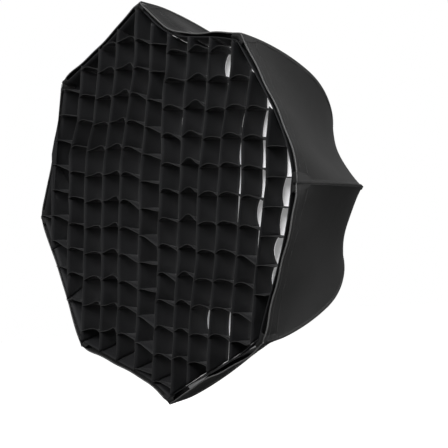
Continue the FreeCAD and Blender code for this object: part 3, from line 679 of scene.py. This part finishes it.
def corner_pocket(rib, materials):
    """Sewn pocket over a rib's tip: a patch on the ridge that folds over the edge to the inside."""
    columns = 13
    fractions = np.linspace(0.0, POCKET_REACH, 16)
    top, low = [], []
    for fraction in fractions:
        spread = POCKET_HALF_WIDTH * (1.0 - 0.55 * (fraction / POCKET_REACH) ** 2)
        offsets = [spread * (2 * j / (columns - 1) - 1) for j in range(columns)]
        lifts = [0.0011 - 0.0006 * (abs(x) / POCKET_HALF_WIDTH) ** 2 for x in offsets]
        top.append([rib_ridge(rib, x, [fraction], lift)[0][0] for x, lift in zip(offsets, lifts)])
        low.append([rib_ridge(rib, x, [fraction], 0.0001)[0][0] for x in offsets])
    top, low = np.array(top), np.array(low)
    out = radial(rib_angle(rib))
    for back, inward in POCKET_FOLDS:
        fold = low[0] + np.array([0.0, back, 0.0]) - out * inward
        top = np.concatenate([fold[None], top])
        low = np.concatenate([(fold + out * 0.0006 + np.array([0.0, 0.0004, 0.0]))[None], low])
    points, faces = slab(top, low)
    pocket = new_object("corner_pocket_%d" % rib, points, faces, materials["seam"])
    fix_normals(pocket)
    uv = np.array([(0.0022 * j, 0.0022 * i) for i in range(len(top)) for j in range(columns)])
    uv_from_grid(pocket, np.concatenate([uv, uv]))
    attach(pocket, "rib_%d" % rib)


def root_patch(rib, materials):
    """Sector of the round reinforcement that joins the canopy to the cuff at the hub."""
    radii = np.linspace(CUFF_EDGE_RADIUS - 0.0004, ROOT_PATCH_EDGE, 10)
    angles = np.linspace(-0.5, 0.5, 17) * RIB_STEP + rib_angle(rib)
    top = np.zeros((len(radii), len(angles), 3))
    for i, radius in enumerate(radii):
        heading = math.asin(min(1.0, (radius - ROOT_RADIUS) / RIB_ARCS[0][0]))
        for j, angle in enumerate(angles):
            top[i, j] = radius * radial(angle)
        top[i, :, 1] = REAR_Y - RIB_ARCS[0][0] * (1 - math.cos(heading)) + 0.0012
    points, faces = slab(top, top - np.array([0.0, 0.0009, 0.0]))
    patch = new_object("root_patch_%d" % rib, points, faces, materials["seam"])
    fix_normals(patch)
    uv = np.stack(np.meshgrid(angles * 0.08, radii), 2).reshape(-1, 2)
    uv_from_grid(patch, np.concatenate([uv, uv]))
    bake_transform(patch)


def build_canopy(materials):
    for rib in range(1, RIBS + 1):
        for side in ("ahead", "behind"):
            outer, normals = panel_surface(rib, side)
            panel = half_panel(rib, side, outer, normals, materials)
            binding = front_binding(rib, side, outer, normals, materials)
            thread = panel_stitching(rib, side, outer, normals, materials)
            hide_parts("canopy_panel_%d_%s" % (rib, side))
            for piece in (panel, binding, thread):
                pleat(piece)
        rib_seam(rib, materials)
        corner_pocket(rib, materials)
        root_patch(rib, materials)


# ---- Front: diffuser, band and grid ----
def octagon_radius(angle, corner, side):
    """Radius of an octagon at an angle; its sides are pulled in, and bowed as the canopy's edge is."""
    local = (angle - FIRST_RIB) % RIB_STEP
    share = math.sin(local) / (math.sin(local) + math.sin(RIB_STEP - local))
    flat = corner * math.cos(RIB_STEP / 2)
    bay = int(((angle - FIRST_RIB) % (2 * math.pi)) / RIB_STEP) % RIBS + 1
    pulled_in = 4 * share * (1 - share) * (flat - side) - bow_at(bay, share)
    return (flat - pulled_in) / math.cos(local - RIB_STEP / 2)


def octagon_sheet(corner, side, y, slack, seed, rings, spokes):
    """Points and faces of a sheet over an octagon, with slack ripples."""
    rng = random.Random(seed)
    phases = [rng.uniform(0, 2 * math.pi) for _ in range(4)]
    points, faces = [], []
    for i in range(rings + 1):
        share = i / rings
        depth = slack * math.sin(math.pi * min(share, 0.93) / 0.93 * 0.5 + 0.3)
        for j in range(spokes):
            angle = FIRST_RIB + 2 * math.pi * j / spokes
            radius = share * octagon_radius(angle, corner, side)
            x, z = radius * math.cos(angle), radius * math.sin(angle)
            ripple = math.sin(21 * x + phases[0]) * math.sin(17 * z + phases[1]) * 0.35
            ripple += 0.4 * math.sin(8 * angle + phases[2]) * share ** 3
            ripple += 0.12 * math.sin(40 * angle + phases[3]) * share ** 6
            points.append((x, y + depth * ripple, z))
    for i in range(rings):
        for j in range(spokes):
            a, b = i * spokes + j, i * spokes + (j + 1) % spokes
            faces.append((a, b, b + spokes, a + spokes))
    return np.array(points), faces


def octagon_cloth(name, corner, side, y, slack, seed, material):
    """Thin closed octagonal cloth, its front facing -Y."""
    rings, spokes = 34, 96
    front, faces = octagon_sheet(corner, side, y, slack, seed, rings, spokes)
    back = front + np.array([0.0, CLOTH, 0.0])
    count = len(front)
    faces += [tuple(count + i for i in face[::-1]) for face in faces]
    rim = rings * spokes
    for j in range(spokes):
        a, b = rim + j, rim + (j + 1) % spokes
        faces.append((a, b, b + count, a + count))
    piece = new_object(name, np.concatenate([front, back]), faces, material)
    mesh = bmesh.new()
    mesh.from_mesh(piece.data)
    bmesh.ops.remove_doubles(mesh, verts=mesh.verts, dist=1e-6)
    bmesh.ops.recalc_face_normals(mesh, faces=mesh.faces)
    layer = mesh.loops.layers.uv.new("cloth")
    for face in mesh.faces:
        face.smooth = True
        for loop in face.loops:
            loop[layer].uv = (loop.vert.co.x, loop.vert.co.z)
    mesh.to_mesh(piece.data)
    mesh.free()
    return piece


def build_diffusers(materials):
    """Stretched white cloths in the place of the CAD diffusers, each on the body of the same name."""
    for node, (corner, side, slack, seed, across, held_by) in DIFFUSERS.items():
        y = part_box(node)[0].y
        cloth = octagon_cloth(node + "_cloth", corner, side, y, slack, seed, materials["white"])
        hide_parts(node)
        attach(cloth, node)


def grid_corner(depth):
    """Corner and side radius of the grid's outline at a depth behind the front plane."""
    share = (depth - GRID_FRONT) / (GRID_REAR - GRID_FRONT)
    return [front + (rear - front) * share for front, rear in (GRID_CORNERS, GRID_SIDES)]


def inside_outline(x, z, depth, margin):
    corner, side = grid_corner(depth)
    return math.hypot(x, z) < octagon_radius(math.atan2(z, x), corner, side) - margin


def strip_span(place, depth, margin=0.0022):
    """Where a strip starts and stops at the outline; place gives its point (x, z) at a length."""
    inside = [s for s in np.linspace(-0.31, 0.31, 621) if inside_outline(*place(s), depth, margin)]
    return (min(inside), max(inside)) if len(inside) > 4 else None


# Directions along and across the uprights, as (x, z), and the shares of a strip's depth that have points
UP = np.array([math.sin(GRID_TURN), math.cos(GRID_TURN)])
OVER = np.array([math.cos(GRID_TURN), -math.sin(GRID_TURN)])
DEPTHS = np.linspace(0.0, 1.0, 7)


def jitter(seed, column, row, scale):
    """Small random amount that stays the same for a cell."""
    return random.Random(1000 * seed + 50 * column + row).uniform(-scale, scale)


def upright_offset(column, along, depth_share):
    """Sideways place of an upright strip, which strays at the crossings and bellies out between them."""
    place = (along - CELL_STEP[column] / 1000) / ROW_PITCH
    row = math.floor(place)
    phase = place - row
    stray = float(np.interp(along, DRIFT_HEIGHTS, DRIFT[column])) / 1000
    step = float(smooth(phase))
    node = jitter(31, column, row, 0.0008) * (1 - step) + jitter(31, column, row + 1, 0.0008) * step
    calm = 0.35 if column > 1 else 1.0
    front = jitter(35, column, row, 0.0020) * calm
    rear = (jitter(36, column, row, 0.0026) + 0.0012) * calm + REAR_SWELL.get((column, row), 0) / 1000
    belly = front * (1 - depth_share) + rear * depth_share + 0.0010 * math.sin(math.pi * depth_share)
    return COLUMN_SHIFT + column * COLUMN_PITCH + stray + node + belly * math.sin(math.pi * phase) ** 0.7


def upright_place(column, along, depth_share):
    """Point of an upright in the front plane, as (x, z)."""
    return upright_offset(column, along, depth_share) * OVER + along * UP


def level_height(column, row, phase, depth_share):
    """Height of a level strip over its own row line; its front edge arches up or droops."""
    arch, peak, sharp, droop = CELL_STYLE[column]
    arch *= 1 + jitter(41, column, row, 0.30)
    peak += jitter(42, column, row, 0.07)
    droop = DEEP_DROOP.get((column, row), droop * (1 + jitter(43, column, row, 0.5)))
    bent = phase ** (math.log(0.5) / math.log(peak))
    rise = arch * math.sin(math.pi * bent) ** sharp - droop * phase ** 1.4
    return rise / 1000 * (1 - depth_share) ** 1.3 + 0.0006 * math.sin(7 * phase + 3 * depth_share)


def grid_depth(depth_share):
    return GRID_FRONT + (GRID_REAR - GRID_FRONT) * depth_share


def grid_point(flat, depth_share):
    return flat[0], FRONT_Y + grid_depth(depth_share), flat[1]


def ribbon(name, rows_of_points, across, materials):
    """Thin closed strip of cloth with a folded bead along its front edge; the first row is the front edge."""
    grid = np.array(rows_of_points)
    side = np.array([across[0], 0.0, across[1]]) * STRIP / 2
    points, faces = slab(grid + side, grid - side)
    strip = new_object(name, points, faces, materials["grid"])
    fix_normals(strip)
    along = distances(grid[0])
    uv = np.array([(a, share * (GRID_REAR - GRID_FRONT)) for share in DEPTHS for a in along])
    uv_from_grid(strip, np.concatenate([uv, uv]))
    points, faces = tube_mesh(grid[0], BEAD_RADIUS, BEAD_SIDES)
    bead = new_object(name + "_bead", points, faces, materials["grid_edge"])
    tube_uv(bead, along, BEAD_SIDES, 0.0006)
    return [strip, bead]


def build_uprights(materials):
    pieces = []
    for column in COLUMNS:
        rows = []
        for share in DEPTHS:
            span = strip_span(lambda along: upright_place(column, along, share), grid_depth(share))
            if not rows:
                count = max(8, int((span[1] - span[0]) / 0.0045))
            lengths = np.linspace(*span, count)
            rows.append([grid_point(upright_place(column, along, share), share) for along in lengths])
        pieces += ribbon("upright", rows, OVER, materials)
    return join(pieces, "grid_uprights_cloth")


def build_levels(materials):
    pieces = []
    for column in CELL_STEP:
        for row in ROWS:
            rows = level_strip(column, row)
            if rows:
                pieces += ribbon("level", rows, UP, materials)
    return join(pieces, "grid_rows_cloth")


def level_strip(column, row):
    """Rows of points of one level strip between two uprights, or none where the outline leaves no room."""
    height = CELL_STEP[column] / 1000 + row * ROW_PITCH
    spans = [strip_span(lambda s: s * OVER + height * UP, depth, 0.0030) for depth in (GRID_FRONT, GRID_REAR)]
    if None in spans:
        return None
    rows = []
    for share in DEPTHS:
        first, last = (np.interp(share, (0, 1), ends) for ends in zip(*spans))
        low = upright_offset(column, height, share) if column in COLUMNS else first
        high = upright_offset(column + 1, height, share) if column + 1 in COLUMNS else last
        free_low, free_high = low > first, high < last
        low, high = max(low, first), min(high, last)
        width = high - low
        if width < 0.006:
            return None
        scale = min(1.0, width / COLUMN_PITCH) ** 1.5
        line = []
        for phase in np.linspace(0, 1, 13):
            held = (1 if free_low else min(1, 3 * phase)) * (1 if free_high else min(1, 3 * (1 - phase)))
            lift = level_height(column, row, phase, share) * scale * held + (phase - 0.5) * width * LEVEL_TILT
            line.append(grid_point((low + width * phase) * OVER + (height + lift) * UP, share))
        rows.append(line)
    return rows


def join(pieces, name):
    """Join mesh objects into one, keeping UVs and materials."""
    bpy.ops.object.select_all(action="DESELECT")
    for piece in pieces:
        piece.select_set(True)
    bpy.context.view_layer.objects.active = pieces[0]
    bpy.ops.object.join()
    pieces[0].name = name
    return pieces[0]


def build_grid(materials):
    upright, level = build_uprights(materials), build_levels(materials)
    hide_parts("grid_strips_upright")
    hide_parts("grid_strips_level")
    band = grid_band(materials["grid"])
    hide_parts("grid_border")
    for piece in (upright, level, band):
        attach(piece, "grid")


def grid_band(material):
    """Tapered band round the grid, which carries the hook tape."""
    spokes = 192
    rows = np.linspace(0.0, 1.0, 7)
    grid = np.zeros((2, len(rows), spokes + 1, 3))
    for i, share in enumerate(rows):
        depth = BAND_FRONT + (GRID_REAR - BAND_FRONT) * share
        corner, side = grid_corner(depth)
        for j in range(spokes + 1):
            angle = 2 * math.pi * (j % spokes) / spokes
            wave = 0.0008 * math.sin(9 * angle + 3 * share) * (1 - share)
            for skin, thickness in enumerate((0.0, 0.0014)):
                radius = octagon_radius(angle, corner, side) - thickness + wave
                grid[skin, i, j] = (radius * math.cos(angle), FRONT_Y + depth, radius * math.sin(angle))
    points, faces = slab(*grid)
    piece = new_object("grid_band", points, faces, material)
    mesh = bmesh.new()
    mesh.from_mesh(piece.data)
    bmesh.ops.remove_doubles(mesh, verts=mesh.verts, dist=1e-6)
    # Where the ring closes, the two end faces lie on each other and go
    doubles = {}
    for face in mesh.faces:
        doubles.setdefault(tuple(sorted(v.index for v in face.verts)), []).append(face)
    extra = [face for faces in doubles.values() if len(faces) > 1 for face in faces]
    bmesh.ops.delete(mesh, geom=extra, context="FACES")
    bmesh.ops.recalc_face_normals(mesh, faces=mesh.faces)
    layer = mesh.loops.layers.uv.new("cloth")
    for face in mesh.faces:
        for loop in face.loops:
            co = loop.vert.co
            loop[layer].uv = (0.28 * math.atan2(co.z, co.x), co.y)
    mesh.to_mesh(piece.data)
    mesh.free()
    return piece


# ---- Button springs ----
def build_springs(materials):
    """Coil spring under each release button, fixed to the hub."""
    for side, bay in SPRING_BAYS.items():
        centre = radial(FIRST_RIB + RIB_STEP * bay) * SPRING_CIRCLE
        path = []
        for t in np.linspace(0.0, 1.0, 97):
            turn = 2 * math.pi * COIL_TURNS * t
            x, z = COIL_RADIUS * math.cos(turn), COIL_RADIUS * math.sin(turn)
            path.append(centre + np.array([x, SPRING_LOW + (SPRING_HIGH - SPRING_LOW) * t, z]))
        points, faces = tube_mesh(path, COIL_WIRE, 8)
        coil = new_object("button_spring_" + side, points, faces, materials["steel"])
        fix_normals(coil)
        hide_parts("button_springs")
        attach(coil, "hub")
        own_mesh(coil)


# ---- Studio ----
CAMERA_PLACE = (1.595548, -1.604878, -0.103298)
CAMERA_TURN = (91.778765, 4.354909, 48.424396)  # degrees about X, Y and Z
CAMERA_LENS, CAMERA_SENSOR = 112.5, 36.0  # mm
FLOOR_Z, FLOOR_REACH, FLOOR_GLOW = -0.62, 9.0, 0.60
AMBIENT_BELOW, AMBIENT_ABOVE = 0.05, 0.46
# Soft lamps: place, point they face, width and height, watts
LAMPS = {
    "key": ((2.2, -2.6, 1.9), (0.0, -0.2, 0.0), (1.5, 1.2), 76.0),
    "front": ((0.5, -3.4, 1.3), (0.0, -0.3, 0.0), (0.9, 0.9), 70.0),
    "low_side": ((2.4, 1.1, -0.5), (0.0, -0.1, 0.0), (1.0, 0.7), 104.0),
    "fill": ((-2.8, 1.3, 0.7), (0.0, -0.1, 0.0), (1.6, 1.6), 75.0),
    "rim": ((1.6, 1.4, 1.8), (0.0, -0.1, 0.0), (1.4, 1.0), 30.0),
}


def add_camera():
    """Camera at the front right of the softbox, a little below its axis and rolled by a few degrees."""
    data = bpy.data.cameras.new("camera")
    data.lens, data.sensor_width = CAMERA_LENS, CAMERA_SENSOR
    data.clip_end = 50.0
    camera = bpy.data.objects.new("camera", data)
    turn = Euler([math.radians(angle) for angle in CAMERA_TURN])
    camera.matrix_world = Matrix.LocRotScale(Vector(CAMERA_PLACE), turn, None)
    bpy.context.scene.collection.objects.link(camera)
    bpy.context.scene.camera = camera


def area_light(name, place, target, size, power):
    data = bpy.data.lights.new(name, "AREA")
    data.shape = "RECTANGLE"
    data.size, data.size_y = size
    data.energy = power
    light = bpy.data.objects.new(name, data)
    turn = (Vector(target) - Vector(place)).to_track_quat("-Z", "Y")
    light.matrix_world = Matrix.LocRotScale(Vector(place), turn, None)
    bpy.context.scene.collection.objects.link(light)


def build_floor():
    """Plain pale floor that only the camera sees."""
    corners = [(FLOOR_REACH * x, FLOOR_REACH * y, FLOOR_Z) for x, y in ((-1, -1), (1, -1), (1, 1), (-1, 1))]
    floor = new_object("floor", corners, [(0, 1, 2, 3)], smooth_shading=False)
    material, tree, shader = node_material("pale_floor")
    speckle = noise_node(tree, 3.0, 2.0, 0.5)
    colour = ramp_node(tree, speckle, [(0.3, shade(0.96, WHITE)), (0.7, shade(0.98, WHITE))])
    tree.links.new(colour, shader.inputs["Base Color"])
    shader.inputs["Roughness"].default_value = 0.85
    shader.inputs["Emission Strength"].default_value = FLOOR_GLOW
    floor.data.materials.append(material)
    floor.visible_diffuse = False
    floor.visible_glossy = False


def build_studio():
    add_camera()
    build_floor()
    build_world()
    for name, lamp in LAMPS.items():
        area_light(name, *lamp)
    bpy.context.scene.view_settings.view_transform = "Standard"


def build_world():
    """Pale surroundings for the camera; soft light from above and a little from below."""
    world = bpy.data.worlds.new("studio")
    world.use_nodes = True
    tree = world.node_tree
    background = tree.nodes["Background"]
    background.inputs["Color"].default_value = (*WHITE, 1.0)
    seen = tree.nodes.new("ShaderNodeLightPath").outputs["Is Camera Ray"]
    split = tree.nodes.new("ShaderNodeSeparateXYZ")
    tree.links.new(tree.nodes.new("ShaderNodeTexCoord").outputs["Generated"], split.inputs["Vector"])
    height = tree.nodes.new("ShaderNodeMapRange")
    height.inputs["From Min"].default_value = -0.25
    height.inputs["From Max"].default_value = 0.45
    height.inputs["To Min"].default_value = AMBIENT_BELOW
    height.inputs["To Max"].default_value = AMBIENT_ABOVE
    tree.links.new(split.outputs["Z"], height.inputs["Value"])
    kept = math_node(tree, "MULTIPLY", height.outputs["Result"], math_node(tree, "SUBTRACT", 1.0, seen))
    tree.links.new(math_node(tree, "ADD", seen, kept), background.inputs["Strength"])
    bpy.context.scene.world = world


# ---- Build ----
def main():
    materials = make_materials()
    paint_cad_nodes(materials)
    build_canopy(materials)
    build_diffusers(materials)
    build_grid(materials)
    build_springs(materials)
    build_studio()


main()
